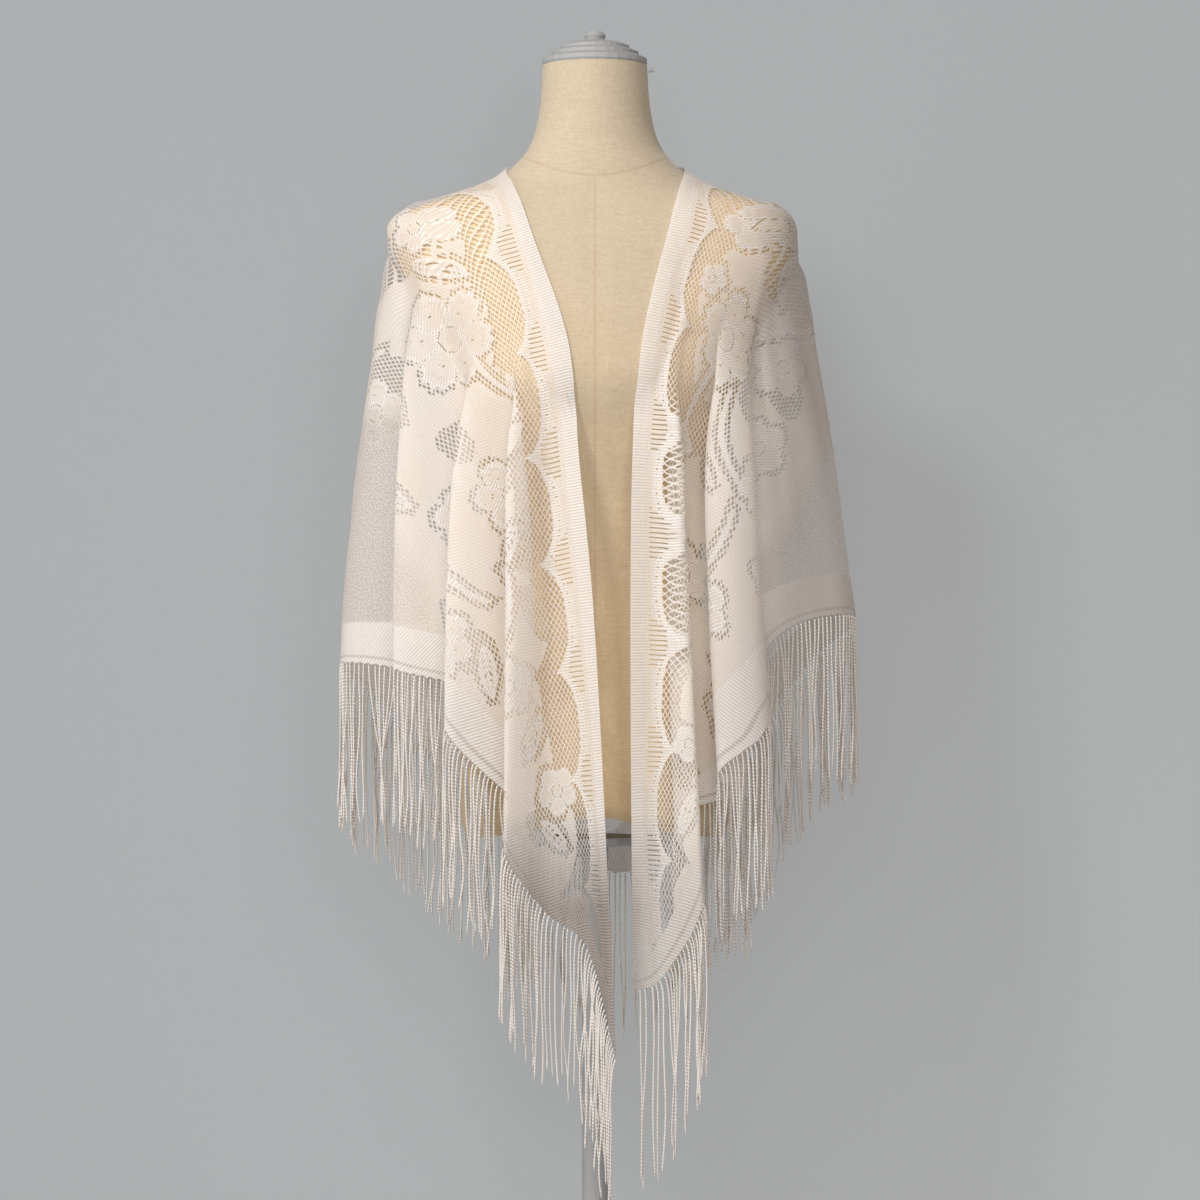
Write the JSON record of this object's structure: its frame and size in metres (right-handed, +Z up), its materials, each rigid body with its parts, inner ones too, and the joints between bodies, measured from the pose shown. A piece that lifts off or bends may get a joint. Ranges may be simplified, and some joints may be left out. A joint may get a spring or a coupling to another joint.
{
  "type": "fringed lace triangle shawl on a limbless dress form with a stand",
  "caption": "Ivory lace triangle shawl with a long twisted fringe, open at the front, draped over a beige linen dress form without limbs on a plain metal stand",
  "frame": {"origin": "centre of the stand foot's underside", "axes": "+Z up, the form faces -Y, +X to the viewer's right when seen from the front"},
  "size_m": [0.4991, 0.32, 1.1793],
  "materials": {
    "lace": "soft ivory warp-knitted lace",
    "fringe": "twisted ivory cords",
    "linen": "beige plain-weave linen",
    "metal": "grey satin"
  },
  "bodies": {
    "root": {"form_torso": "linen", "neck_cap": "metal", "neck_pin": "metal", "pole_flange": "metal", "stand_pole": "metal", "stand_foot": "metal", "lace_front_left": "lace", "lace_side_left": "lace", "lace_back": "lace", "lace_side_right": "lace", "lace_front_right": "lace", "fringe_front_left": "fringe", "fringe_side_left": "fringe", "fringe_back": "fringe", "fringe_side_right": "fringe", "fringe_front_right": "fringe"}
  },
  "joints": []
}
